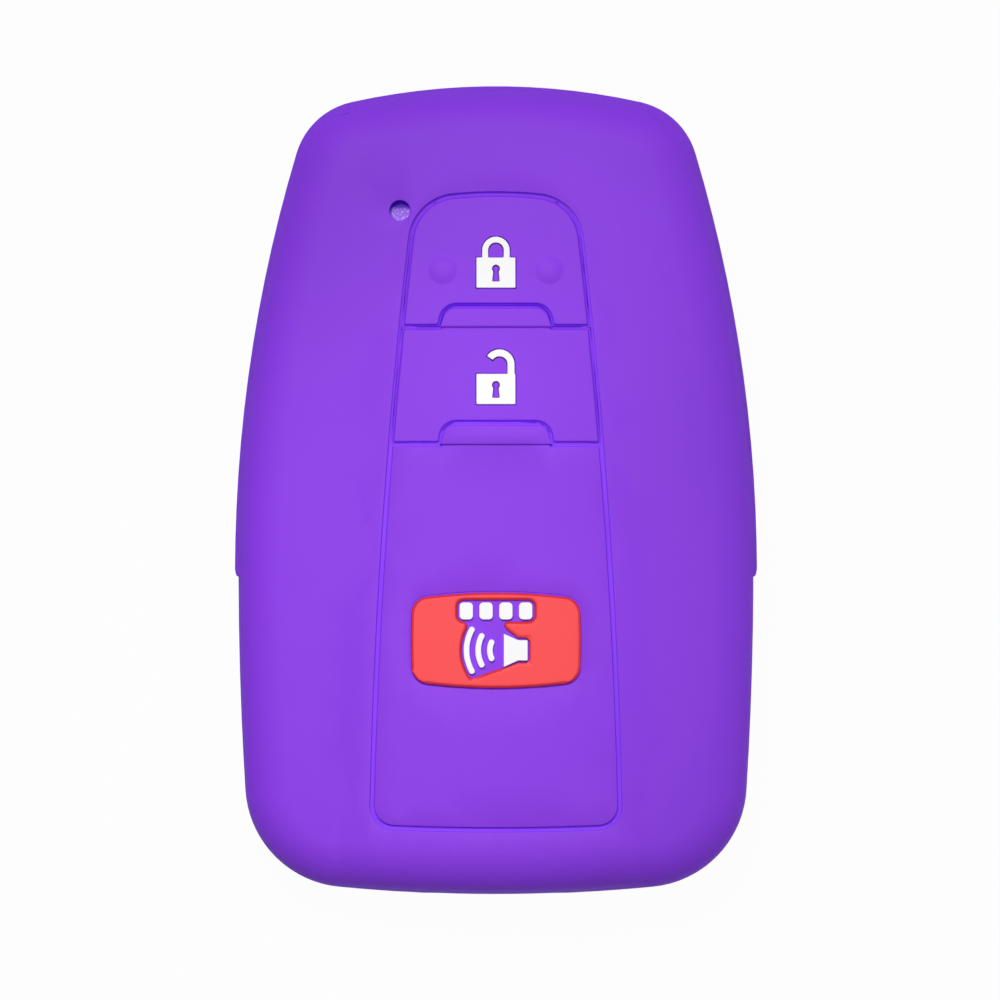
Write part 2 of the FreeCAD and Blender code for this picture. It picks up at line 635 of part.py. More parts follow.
lock_pad = fuse("lock_pad", lock_zone("lock_top", PAD_GAP, press_layer),
                lock_zone("lock_step", STEP_GAP, step_layer))
domes = [touch_dome(f"touch_dome_{number}", side) for number, side in enumerate((-1, 1), start=1)]
lock_button = fuse("lock_button", lock_pad, *domes)

unlock_pad = fuse("unlock_pad", unlock_zone("unlock_top", PAD_GAP, press_layer),
                  unlock_zone("unlock_step", STEP_GAP, step_layer))
unlock_button = fuse("unlock_button", unlock_pad, raised_bar("unlock_bar", "lock_line"))

panic_button = common("panic_button", panic_prism("panic_pad_prism", "0"), press_layer)

# Shell: the wall with its groove, wells, recess, back window and slot
fixed_area = common("fixed_area", panel_prism("fixed_panel", PAD_GAP),
                    slab("fixed_slab", "-cover_length", f"unlock_line - {PAD_GAP}"))
fixed_bar = bar_prism("fixed_bar", "unlock_line", "0", "unlock_line - bar_lap")
fixed_zone = fuse("fixed_zone", fixed_area, fixed_bar)
panel_sunk = cut("panel_sunk", panel_prism("panel_groove", f"-{PAD_GAP}"), fixed_zone)
sunk_all = fuse("sunk_all", panel_sunk, panic_prism("panic_moat_prism", "panic_moat"))
groove_cut = cut("groove_cut", sunk_all, groove_floor)
well_outlines = fuse("well_outlines", lock_zone("lock_well", WELL_GAP), unlock_zone("unlock_well", WELL_GAP),
                     panic_prism("panic_well", "slit"))
wells = cut("wells", well_outlines, well_floor)

light_bore = doc.addObject("Part::Cylinder", "light_bore")
bind(light_bore, "Radius", "light_width / 2")
bind(light_bore, "Height", PRISM_HEIGHT)
bind(light_bore, ".Placement.Base.x", "-light_side")
bind(light_bore, ".Placement.Base.y", "light_level")
bind(light_bore, ".Placement.Base.z", PRISM_FOOT)
light_recess = cut("light_recess", light_bore, light_level_block)

window_corners = [
    ("-window_width / 2", "-window_bottom"), ("window_width / 2", "-window_bottom"),
    ("window_width / 2", "window_top"), ("-window_width / 2", "window_top")]
back_window = prism("back_window", window_corners, rounded=(("window_corner", (0, 1, 2, 3)),),
                    foot="-overrun", height="overrun + wall + back_roll")

ring_slot = doc.addObject("PartDesign::Body", "ring_slot")
slot_sketch = new_sketch(ring_slot, "slot_outline", "XZ_Plane", f"{BODY_BOTTOM} - slot_reach")
slot_low = "slot_level - slot_height / 2"
slot_high = "slot_level + slot_height / 2"
slot_flat = "(slot_width - slot_height) / 2"
draw_loop(slot_sketch, [
    (f"-{slot_flat}", slot_low), (slot_flat, slot_low), (slot_flat, slot_high), (f"-{slot_flat}", slot_high)])
pad(ring_slot, slot_sketch, "slot_reach + overrun")
slot_ends = []
for side in (-1, 1):
    end = doc.addObject("Part::Cylinder", "slot_end_left" if side < 0 else "slot_end_right")
    bind(end, "Radius", "slot_height / 2")
    bind(end, "Height", "slot_reach + overrun")
    end.Placement = FreeCAD.Placement(Vector(0, 0, 0), FreeCAD.Rotation(Vector(1, 0, 0), 90))
    bind(end, ".Placement.Base.x", f"{side} * {slot_flat}")
    bind(end, ".Placement.Base.y", f"slot_reach - {BODY_BOTTOM}")
    bind(end, ".Placement.Base.z", "slot_level")
    slot_ends.append(end)

shell_cuts = fuse("shell_cuts", groove_cut, wells, light_recess)
shell_front = cut("shell_front", sleeve_wall, shell_cuts)
shell_open = cut("shell_open", shell_front, fuse("back_cuts", back_window, ring_slot, *slot_ends))
shell_with_bar = fuse("shell_with_bar", shell_open, raised_bar("fixed_bar_relief", "unlock_line"))
silicone_shell = doc.addObject("PartDesign::Body", "silicone_shell")
silicone_shell.BaseFeature = shell_with_bar
doc.recompute()


def on_window_rim(edge):
    """True for an edge of the back window in the back face."""
    box = edge.BoundBox
    inside = max(abs(box.XMin), abs(box.XMax)) < value("window_width / 2") + NEAR
    return inside and abs(box.ZMax) < NEAR and box.YMin > value("-window_bottom") - NEAR


chamfer(silicone_shell, "window_rim", "window_bevel", on_window_rim)


# Inlays: thin pieces that lie on the panel's crown

def padlock_body(name, level):
    """The padlock's body with its keyhole."""
    top = f"{level} + padlock_height"
    half = "padlock_width / 2"
    corners = [(f"-{half}", level), (half, level), (half, top), (f"-{half}", top)]
    body = prism(name, corners, rounded=(("padlock_corner", (0, 1, 2, 3)),))
    eye_y = f"{level} + keyhole_rise"
    eye = new_sketch(body, f"{name}_keyhole_eye", offset=PRISM_FOOT)
    draw_circle(eye, "0", eye_y, "keyhole_width / 2")
    pocket_through(body, eye)
    foot_y = f"{level} + keyhole_foot_rise"
    foot = new_sketch(body, f"{name}_keyhole_foot", offset=PRISM_FOOT)
    draw_loop(foot, [
        ("-keyhole_foot_width / 2", foot_y), ("keyhole_foot_width / 2", foot_y),
        ("keyhole_waist_width / 2", eye_y), ("-keyhole_waist_width / 2", eye_y)])
    pocket_through(body, foot)
    return body


def ring_sector(name, x, y, radius, stroke, start, end, rounded=()):
    """A curved stroke: part of a ring between two angles, with some of its corners rounded."""
    inner = f"({radius}) - ({stroke}) / 2"
    outer = f"({radius}) + ({stroke}) / 2"

    def at(reach, angle):
        return f"({x}) + ({reach}) * cos({angle})", f"({y}) + ({reach}) * sin({angle})"
    corners = [at(outer, start), at(outer, end), at(inner, end), at(inner, start)]
    end_round = f"({stroke}) * {STROKE_END_SHARE}"
    return prism(name, corners, {0: outer}, {2: inner}, rounded=((end_round, rounded),) if rounded else ())


def closed_shackle(name, level):
    """Two legs and an arch above the closed padlock's body."""
    foot = f"{level} + padlock_height - padlock_corner"
    spring = f"{level} + padlock_height + shackle_leg"
    outer = "shackle_width / 2"
    inner = "(shackle_width / 2 - shackle_stroke)"
    crest = f"({spring}) + {outer} * sin({ARCH_SPLIT_DEGREES})"
    inner_crest = f"({spring}) + {inner} * sin({ARCH_SPLIT_DEGREES})"
    lean = f"{outer} * cos({ARCH_SPLIT_DEGREES})"
    inner_lean = f"{inner} * cos({ARCH_SPLIT_DEGREES})"
    corners = [
        (outer, foot), (outer, spring), (lean, crest), (f"-{lean}", crest), (f"-{outer}", spring),
        (f"-{outer}", foot), (f"-{inner}", foot), (f"-{inner}", spring), (f"-{inner_lean}", inner_crest),
        (inner_lean, inner_crest), (inner, spring), (inner, foot)]
    return prism(name, corners, {1: outer, 2: outer, 3: outer}, {7: inner, 8: inner, 9: inner})


def open_shackle(name, level):
    """An arch that is let go on the left, with its right leg in the open padlock's body."""
    x = "open_shackle_side"
    y = f"{level} + padlock_height + open_shackle_lift"
    radius = "(open_shackle_width - open_shackle_stroke) / 2"
    arch = ring_sector(f"{name}_arch", x, y, radius, "open_shackle_stroke", "0", "open_shackle_turn")
    outer = f"{x} + open_shackle_width / 2"
    inner = f"{outer} - open_shackle_stroke"
    foot = f"{level} + padlock_height - padlock_corner"
    leg = prism(f"{name}_leg", [(inner, foot), (outer, foot), (outer, y), (inner, y)])
    return fuse(name, arch, leg)


lock_outline = fuse("lock_outline", padlock_body("lock_body", "lock_icon_level"),
                    closed_shackle("lock_shackle", "lock_icon_level"))
lock_icon = common("lock_icon", lock_outline, icon_film)
unlock_outline = fuse("unlock_outline", padlock_body("unlock_body", "unlock_icon_level"),
                      open_shackle("unlock_shackle", "unlock_icon_level"))
unlock_icon = common("unlock_icon", unlock_outline, icon_film)


def speaker_prism(name, grow, flare="0"):
    """The loudspeaker's outline, grown all round, with more room above its wide end."""
    y = "(-panic_drop - speaker_drop)"
    wide = f"(speaker_wide / 2 + ({grow}))"
    narrow = f"(speaker_narrow / 2 + ({grow}))"
    left = f"speaker_foot_side - ({grow})"
    right = f"speaker_back_side + ({grow})"
    return prism(name, [
        (left, f"{y} - {wide}"), ("speaker_neck_side", f"{y} - {narrow}"), (right, f"{y} - {narrow}"),
        (right, f"{y} + {narrow}"), ("speaker_neck_side", f"{y} + {narrow}"), (left, f"{y} + {wide} + {flare}")])


def wave_prism(number):
    """One sound wave, counted from the loudspeaker outwards."""
    radius = f"wave_first_radius + {number} * wave_step"
    return ring_sector(f"wave_{number + 1}_outline", "wave_side", "-panic_drop - speaker_drop", radius,
                       "wave_stroke", "(180 - wave_half_turn)", "(180 + wave_half_turn)", (0, 1, 2, 3))


def mark_prism(number):
    """One plain hold mark, counted from the left."""
    middle = f"({number} - ({MARK_COUNT} - 1) / 2) * mark_pitch"
    low = "-panic_drop + mark_rise - mark_height / 2"
    high = "-panic_drop + mark_rise + mark_height / 2"
    left = f"{middle} - mark_width / 2"
    right = f"{middle} + mark_width / 2"
    corners = [(left, low), (right, low), (right, high), (left, high)]
    return prism(f"mark_{number + 1}_outline", corners, rounded=(("mark_corner", (0, 1, 2, 3)),))


panic_speaker_icon = common("panic_speaker_icon", speaker_prism("speaker_outline", "0"), red_film)
waves_outline = fuse("waves_outline", *[wave_prism(number) for number in range(WAVE_COUNT)])
panic_sound_waves = common("panic_sound_waves", waves_outline, red_film)
marks_outline = fuse("marks_outline", *[mark_prism(number) for number in range(MARK_COUNT)])
panic_hold_marks = common("panic_hold_marks", marks_outline, red_film)

# Red layer: the pad's outline with one window round the waves, the loudspeaker and the marks
horn_y = "(-panic_drop - speaker_drop)"
row_y = "(-panic_drop + mark_rise)"
waves_reach = f"wave_first_radius + {WAVE_COUNT - 1} * wave_step + wave_stroke / 2 + red_margin"
fan_low_x = f"wave_side - ({waves_reach}) * cos(red_window_turn)"
fan_low_y = f"{horn_y} - ({waves_reach}) * sin(red_window_turn)"
fan_top_x = f"wave_side - ({waves_reach}) * cos(red_window_upper_turn)"
fan_top_y = f"{horn_y} + ({waves_reach}) * sin(red_window_upper_turn)"
fan_corners = [
    ("speaker_foot_side", row_y), (fan_top_x, row_y), (fan_top_x, fan_top_y), (fan_low_x, fan_low_y),
    ("speaker_foot_side", f"{horn_y} - speaker_wide / 2")]
fan_window = prism("fan_window", fan_corners, {2: waves_reach})
row_half = f"((({MARK_COUNT} - 1) * mark_pitch + mark_width) / 2 + red_margin)"
row_rise = "(mark_height / 2 + red_margin)"
row_window = prism("row_window", [
    (f"-{row_half}", f"{row_y} - {row_rise}"), (row_half, f"{row_y} - {row_rise}"),
    (row_half, f"{row_y} + {row_rise}"), (f"-{row_half}", f"{row_y} + {row_rise}")],
    rounded=(("mark_corner + red_margin", (0, 1, 2, 3)),))
red_window = fuse("red_window", fan_window, row_window,
                  speaker_prism("speaker_window", "red_margin", "red_flare"))
red_layer = common("red_layer", panic_prism("red_face_prism", "0"), red_film)
panic_red_face = cut("panic_red_face", red_layer, red_window)

# Hand out the pieces
PIECES = {
    "silicone_shell": silicone_shell,
    "lock_button": lock_button,
    "unlock_button": unlock_button,
    "panic_button": panic_button,
    "panic_red_face": panic_red_face,
    "lock_icon": lock_icon,
    "unlock_icon": unlock_icon,
    "panic_speaker_icon": panic_speaker_icon,
    "panic_sound_waves": panic_sound_waves,
    "panic_hold_marks": panic_hold_marks,
}
doc.recompute()
for thing in doc.Objects:
    if "Invalid" in thing.State or "Error" in thing.State:
        raise RuntimeError(f"{thing.Name} failed: {thing.State}")
for name, piece in PIECES.items():
    piece.Label = name
    if piece.Shape.isNull() or not piece.Shape.isValid():
        raise RuntimeError(f"{name} has no valid shape")

os.makedirs("parts", exist_ok=True)
for name, piece in PIECES.items():
    piece.Shape.exportStep(f"parts/{name}.step")
    box = piece.Shape.optimalBoundingBox()
    print(f"{name}: {len(piece.Shape.Solids)} solid(s), {piece.Shape.Volume:.2f} mm3, "
          f"x {box.XMin:.2f} {box.XMax:.2f}  y {box.YMin:.2f} {box.YMax:.2f}  z {box.ZMin:.2f} {box.ZMax:.2f}")
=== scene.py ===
import bpy
import json
import math
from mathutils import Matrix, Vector
from mathutils.bvhtree import BVHTree

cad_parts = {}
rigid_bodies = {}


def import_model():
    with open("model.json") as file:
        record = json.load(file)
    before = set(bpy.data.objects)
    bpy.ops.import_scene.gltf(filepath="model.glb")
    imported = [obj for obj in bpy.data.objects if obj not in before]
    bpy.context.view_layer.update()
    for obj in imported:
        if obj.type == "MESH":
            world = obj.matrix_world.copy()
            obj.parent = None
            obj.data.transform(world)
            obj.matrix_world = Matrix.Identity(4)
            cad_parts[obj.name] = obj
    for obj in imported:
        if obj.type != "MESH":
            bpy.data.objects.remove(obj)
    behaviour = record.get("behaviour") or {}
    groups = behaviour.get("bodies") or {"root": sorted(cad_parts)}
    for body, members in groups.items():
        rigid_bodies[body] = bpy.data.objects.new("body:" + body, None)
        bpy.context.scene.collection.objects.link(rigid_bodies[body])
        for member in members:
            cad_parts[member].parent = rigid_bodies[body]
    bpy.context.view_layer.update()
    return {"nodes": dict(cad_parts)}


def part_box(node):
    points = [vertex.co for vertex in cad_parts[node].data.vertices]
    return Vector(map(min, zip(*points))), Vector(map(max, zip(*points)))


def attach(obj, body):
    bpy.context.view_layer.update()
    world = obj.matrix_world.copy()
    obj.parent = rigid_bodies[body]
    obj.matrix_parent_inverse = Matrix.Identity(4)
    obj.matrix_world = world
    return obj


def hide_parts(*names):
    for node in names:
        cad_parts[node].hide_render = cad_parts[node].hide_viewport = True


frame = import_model()
mm = 0.001  # sizes below are in millimetres where they carry this
sameCorner = 0.0005 * mm  # corners of a node's mesh that are this close are one corner
print("frame loaded:", ", ".join(sorted(frame["nodes"])))


# tools that every piece uses

def workOn(piece):
    bpy.ops.object.select_all(action="DESELECT")
    piece.select_set(True)
    bpy.context.view_layer.objects.active = piece


def copyNode(node, pieceName):
    # a piece of its own that starts from a node's mesh, with the loose triangles joined
    mesh = frame["nodes"][node].data.copy()
    mesh.materials.clear()
    piece = bpy.data.objects.new(pieceName, mesh)
    bpy.context.scene.collection.objects.link(piece)
    workOn(piece)
    bpy.ops.object.mode_set(mode="EDIT")
    bpy.ops.mesh.select_all(action="SELECT")
    bpy.ops.mesh.remove_doubles(threshold=sameCorner)
    bpy.ops.object.mode_set(mode="OBJECT")
    return piece


def joinClose(piece, low, high, reach):
    # corners that crowd together inside a box, or its mirror image, become one, so that a round has room
    bpy.ops.object.mode_set(mode="EDIT")
    bpy.ops.mesh.select_mode(type="VERT")
    bpy.ops.mesh.select_all(action="DESELECT")
    bpy.ops.object.mode_set(mode="OBJECT")
    for corner in piece.data.vertices:
        place = (abs(corner.co.x), corner.co.y, corner.co.z)
        corner.select = all(low[way] < place[way] < high[way] for way in range(3))
    bpy.ops.object.mode_set(mode="EDIT")
    bpy.ops.mesh.remove_doubles(threshold=reach)
    bpy.ops.object.mode_set(mode="OBJECT")


def selectFaces(piece, wanted):
    bpy.ops.object.mode_set(mode="EDIT")
    bpy.ops.mesh.select_mode(type="FACE")
    bpy.ops.mesh.select_all(action="DESELECT")
    bpy.ops.object.mode_set(mode="OBJECT")
    for face in piece.data.polygons:
        face.select = wanted(face)
    bpy.ops.object.mode_set(mode="EDIT")


def surfaceOf(node):
    mesh = frame["nodes"][node].data
    corners = [corner.co for corner in mesh.vertices]
    return BVHTree.FromPolygons(corners, [face.vertices for face in mesh.polygons])


def isBeside(surface, point, reach):
    return surface.find_nearest(point, reach)[0] is not None


def roundEdges(piece, look, isPlain=lambda point: False):
    # sharp edges get a small round or a chamfer, except plain ones and those that lie beside another node
    workOn(piece)
    bpy.ops.object.mode_set(mode="EDIT")
    bpy.ops.mesh.select_mode(type="FACE")
    bpy.ops.mesh.select_all(action="SELECT")
    bpy.ops.mesh.beautify_fill(angle_limit=math.radians(look["tidyAngle"]))
    bpy.ops.mesh.select_mode(type="EDGE")
    bpy.ops.mesh.select_all(action="DESELECT")
    bpy.ops.mesh.edges_select_sharp(sharpness=math.radians(look["sharpAngle"]))
    bpy.ops.object.mode_set(mode="OBJECT")
    weights = piece.data.attributes.new("bevel_weight_edge", "FLOAT", "EDGE")
    corners = piece.data.vertices
    others = [surfaceOf(node) for node in look["beside"]]
    for edge in piece.data.edges:
        middle = (corners[edge.vertices[0]].co + corners[edge.vertices[1]].co) / 2
        covered = any(isBeside(other, middle, look["besideReach"]) for other in others)
        if edge.select and not covered and not isPlain(middle):
            weights.data[edge.index].value = 1.0
    bpy.ops.object.shade_smooth_by_angle(angle=math.radians(look["smoothAngle"]))
    bevel = piece.modifiers.new("roundEdge", "BEVEL")
    bevel.limit_method = "WEIGHT"
    bevel.width = look["edgeRound"]
    bevel.segments = look["edgeSteps"]
    bevel.use_clamp_overlap = False
    bevel.harden_normals = True
    bpy.ops.object.modifier_apply(modifier=bevel.name)


def softSkin(piece, look):
    # the piece gets an even fine mesh, worked in millimetres, and is rubbed soft
    workOn(piece)
    piece.scale = (1 / mm, 1 / mm, 1 / mm)
    bpy.ops.object.transform_apply(location=False, rotation=False, scale=True)
    remesh = piece.modifiers.new("evenSkin", "REMESH")
    remesh.mode = "VOXEL"
    remesh.voxel_size = look["voxel"]
    bpy.ops.object.modifier_apply(modifier=remesh.name)
    rub = piece.modifiers.new("softEdge", "SMOOTH")
    rub.factor = look["rubShare"]
    rub.iterations = look["rubs"]
    bpy.ops.object.modifier_apply(modifier=rub.name)
    piece.scale = (mm, mm, mm)
    bpy.ops.object.transform_apply(location=False, rotation=False, scale=True)
    bpy.ops.object.shade_smooth()


def growAndSink(piece, growth, depth):
    workOn(piece)
    bpy.ops.object.mode_set(mode="EDIT")
    bpy.ops.mesh.select_all(action="SELECT")
    bpy.ops.transform.shrink_fatten(value=growth, use_even_offset=True)
    bpy.ops.transform.translate(value=(0, 0, -depth))
    bpy.ops.object.mode_set(mode="OBJECT")


def addLip(node, lipName, look):
    # the lip at a pad's foot: the flat strip beside the slit, grown until it almost closes it
    lip = copyNode(node, lipName)
    bpy.ops.object.mode_set(mode="EDIT")
    bpy.ops.mesh.select_mode(type="VERT")
    bpy.ops.mesh.select_all(action="DESELECT")
    bpy.ops.object.mode_set(mode="OBJECT")
    cover = surfaceOf("silicone_shell")
    for corner in lip.data.vertices:
        corner.select = isBeside(cover, corner.co, look["lipReach"])
    bpy.ops.object.mode_set(mode="EDIT")
    bpy.ops.mesh.select_more()
    bpy.ops.mesh.select_all(action="INVERT")
    bpy.ops.mesh.delete(type="VERT")
    bpy.ops.object.mode_set(mode="OBJECT")
    growAndSink(lip, look["lipGrowth"], look["lipGrowth"] + look["lipSink"])
    selectFaces(lip, lambda face: face.normal.z < look["lipFacing"])
    bpy.ops.mesh.delete(type="FACE")
    bpy.ops.object.mode_set(mode="OBJECT")
    bpy.ops.object.shade_smooth_by_angle(angle=math.radians(look["lipAngle"]))
    return lip


def standFor(piece, node, body):
    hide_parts(node)
    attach(piece, body)


# shared effects

def addNode(tree, kind, place, **values):
    node = tree.nodes.new(kind)
    node.location = place
    for name, value in values.items():
        setattr(node, name, value)
    return node


def makeSkinGrain():
    # fine moulded grain, slow tone changes and a few specks of dust
    group = bpy.data.node_groups.new("mouldedSkin", "ShaderNodeTree")
    for name, kind, value in (
            ("Colour", "NodeSocketColor", (0.5, 0.5, 0.5, 1)),
            ("Deep Colour", "NodeSocketColor", (0.4, 0.4, 0.4, 1)),
            ("Dust Colour", "NodeSocketColor", (0.8, 0.8, 0.8, 1)),
            ("Grain Scale", "NodeSocketFloat", 2600.0),
            ("Dust Amount", "NodeSocketFloat", 0.5), ("Roughness", "NodeSocketFloat", 0.6)):
        socket = group.interface.new_socket(name, in_out="INPUT", socket_type=kind)
        socket.default_value = value
    for name, kind in (
            ("Colour", "NodeSocketColor"), ("Roughness", "NodeSocketFloat"), ("Height", "NodeSocketFloat")):
        group.interface.new_socket(name, in_out="OUTPUT", socket_type=kind)
    take = addNode(group, "NodeGroupInput", (-1200, 0))
    give = addNode(group, "NodeGroupOutput", (900, 0))
    place = addNode(group, "ShaderNodeTexCoord", (-1200, -300))
    link = group.links.new

    tone = addNode(group, "ShaderNodeTexNoise", (-900, 200))
    tone.inputs["Scale"].default_value = 55
    tone.inputs["Detail"].default_value = 3
    toneMix = addNode(group, "ShaderNodeMix", (-400, 200), data_type="RGBA")
    link(place.outputs["Object"], tone.inputs["Vector"])
    link(tone.outputs["Fac"], toneMix.inputs["Factor"])
    link(take.outputs["Colour"], toneMix.inputs["A"])
    link(take.outputs["Deep Colour"], toneMix.inputs["B"])

    grain = addNode(group, "ShaderNodeTexNoise", (-900, -100))
    grain.inputs["Detail"].default_value = 2
    link(place.outputs["Object"], grain.inputs["Vector"])
    link(take.outputs["Grain Scale"], grain.inputs["Scale"])

    speck = addNode(group, "ShaderNodeTexVoronoi", (-900, -400))
    speck.inputs["Scale"].default_value = 420
    link(place.outputs["Object"], speck.inputs["Vector"])
    pick = addNode(group, "ShaderNodeSeparateColor", (-700, -550))
    link(speck.outputs["Color"], pick.inputs["Color"])
    reach = addNode(group, "ShaderNodeMapRange", (-500, -550))
    reach.inputs["From Min"].default_value = 0.9
    reach.inputs["From Max"].default_value = 1.0
    reach.inputs["To Max"].default_value = 0.055
    link(pick.outputs["Red"], reach.inputs["Value"])
    inside = addNode(group, "ShaderNodeMath", (-300, -450), operation="LESS_THAN")
    link(speck.outputs["Distance"], inside.inputs[0])
    link(reach.outputs["Result"], inside.inputs[1])
    dust = addNode(group, "ShaderNodeMath", (-100, -400), operation="MULTIPLY")
    link(inside.outputs["Value"], dust.inputs[0])
    link(take.outputs["Dust Amount"], dust.inputs[1])
    dustMix = addNode(group, "ShaderNodeMix", (200, 150), data_type="RGBA")
    link(dust.outputs["Value"], dustMix.inputs["Factor"])
    link(toneMix.outputs["Result"], dustMix.inputs["A"])
    link(take.outputs["Dust Colour"], dustMix.inputs["B"])
    link(dustMix.outputs["Result"], give.inputs["Colour"])

    uneven = addNode(group, "ShaderNodeMapRange", (200, -100))
    uneven.inputs["To Min"].default_value = -0.06
    uneven.inputs["To Max"].default_value = 0.06
    link(grain.outputs["Fac"], uneven.inputs["Value"])
    rough = addNode(group, "ShaderNodeMath", (500, -50), operation="ADD")
    link(take.outputs["Roughness"], rough.inputs[0])
    link(uneven.outputs["Result"], rough.inputs[1])
    link(rough.outputs["Value"], give.inputs["Roughness"])
    link(grain.outputs["Fac"], give.inputs["Height"])
    return group


skinGrain = makeSkinGrain()


def makeSilicone(name, look):
    material = bpy.data.materials.new(name)
    material.use_nodes = True
    tree = material.node_tree
    tree.nodes.clear()
    out = addNode(tree, "ShaderNodeOutputMaterial", (600, 0))
    shader = addNode(tree, "ShaderNodeBsdfPrincipled", (250, 0))
    skin = addNode(tree, "ShaderNodeGroup", (-300, 0))
    skin.node_tree = skinGrain
    skin.inputs["Colour"].default_value = look["colour"]
    skin.inputs["Deep Colour"].default_value = look["deepColour"]
    skin.inputs["Dust Colour"].default_value = look["dustColour"]
    skin.inputs["Grain Scale"].default_value = look["grainScale"]
    skin.inputs["Dust Amount"].default_value = look["dustAmount"]
    skin.inputs["Roughness"].default_value = look["roughness"]
    bump = addNode(tree, "ShaderNodeBump", (0, -250))
    bump.inputs["Strength"].default_value = look["grainStrength"]
    bump.inputs["Distance"].default_value = look["grainDepth"]
    shader.inputs["Specular IOR Level"].default_value = look["specular"]
    # painted shade: sides seen at a slant are painted a deeper colour, and creases found by ambient occlusion
    # get a painted tone, painted light on the purple and painted shade on the other silicones
    slant = addNode(tree, "ShaderNodeLayerWeight", (-500, 350))
    slant.inputs["Blend"].default_value = look["slantBlend"]
    paintedSlantShade = addNode(tree, "ShaderNodeMix", (-50, 250), data_type="RGBA")
    paintedSlantShade.inputs["B"].default_value = look["slantShadeColour"]
    openness = addNode(tree, "ShaderNodeAmbientOcclusion", (-500, 600), samples=8)
    openness.inputs["Distance"].default_value = look["creaseReach"]
    closeness = addNode(tree, "ShaderNodeMapRange", (-200, 600))
    closeness.inputs["From Min"].default_value = 1.0
    closeness.inputs["From Max"].default_value = look["creaseFull"]
    paintedCreaseTone = addNode(tree, "ShaderNodeMix", (100, 350), data_type="RGBA")
    paintedCreaseTone.inputs["B"].default_value = look["paintedCreaseColour"]
    tree.links.new(slant.outputs["Facing"], paintedSlantShade.inputs["Factor"])
    tree.links.new(skin.outputs["Colour"], paintedSlantShade.inputs["A"])
    tree.links.new(openness.outputs["AO"], closeness.inputs["Value"])
    tree.links.new(closeness.outputs["Result"], paintedCreaseTone.inputs["Factor"])
    tree.links.new(paintedSlantShade.outputs["Result"], paintedCreaseTone.inputs["A"])
    tree.links.new(paintedCreaseTone.outputs["Result"], shader.inputs["Base Color"])
    tree.links.new(skin.outputs["Roughness"], shader.inputs["Roughness"])
    tree.links.new(skin.outputs["Height"], bump.inputs["Height"])
    tree.links.new(bump.outputs["Normal"], shader.inputs["Normal"])
    tree.links.new(shader.outputs["BSDF"], out.inputs["Surface"])
    return material


# purple: painted shade on slanting sides, painted light (a brighter tint) in creases
purpleSilicone = makeSilicone("purpleSilicone", {
    "colour": (0.28, 0.054, 0.83, 1), "deepColour": (0.268, 0.05, 0.815, 1),
    "dustColour": (0.62, 0.45, 0.95, 1),
    "slantShadeColour": (0.25, 0.022, 0.95, 1), "slantBlend": 0.4,
    "paintedCreaseColour": (0.33, 0.068, 0.95, 1), "creaseReach": 0.35 * mm, "creaseFull": 0.3,
    "grainScale": 2600, "grainStrength": 0.25, "grainDepth": 0.03 * mm,
    "dustAmount": 0.5, "roughness": 0.62, "specular": 0.2,
})
# red: painted shade, a dark crimson, on slanting sides and in creases
redSilicone = makeSilicone("redSilicone", {
    "colour": (1.0, 0.082, 0.09, 1), "deepColour": (0.98, 0.074, 0.082, 1), "dustColour": (1.0, 0.5, 0.5, 1),
    "slantShadeColour": (0.62, 0.0, 0.03, 1), "slantBlend": 0.8,
    "paintedCreaseColour": (0.4, 0.0, 0.05, 1), "creaseReach": 0.3 * mm, "creaseFull": 0.2,
    "grainScale": 2600, "grainStrength": 0.15, "grainDepth": 0.03 * mm,
    "dustAmount": 0.2, "roughness": 0.5, "specular": 0.25,
})
# white: painted shade on slanting sides and in creases
whiteSilicone = makeSilicone("whiteSilicone", {
    "colour": (0.98, 0.97, 0.98, 1), "deepColour": (0.95, 0.94, 0.96, 1), "dustColour": (0.85, 0.82, 0.9, 1),
    "slantShadeColour": (0.75, 0.7, 0.85, 1), "slantBlend": 0.3,
    "paintedCreaseColour": (0.5, 0.42, 0.7, 1), "creaseReach": 0.2 * mm, "creaseFull": 0.2,
    "grainScale": 2600, "grainStrength": 0.15, "grainDepth": 0.02 * mm,
    "dustAmount": 0.2, "roughness": 0.5, "specular": 0.3,
})
# rim: a darker purple that is painted shade, with painted shade on slanting sides and in creases too
shadedRimSilicone = makeSilicone("shadedRimSilicone", {
    "colour": (0.15, 0.03, 0.52, 1), "deepColour": (0.14, 0.025, 0.5, 1), "dustColour": (0.3, 0.2, 0.6, 1),
    "slantShadeColour": (0.12, 0.02, 0.5, 1), "slantBlend": 0.3,
    "paintedCreaseColour": (0.1, 0.01, 0.45, 1), "creaseReach": 0.15 * mm, "creaseFull": 0.2,
    "grainScale": 2600, "grainStrength": 0.15, "grainDepth": 0.02 * mm,
    "dustAmount": 0.0, "roughness": 0.65, "specular": 0.2,
})


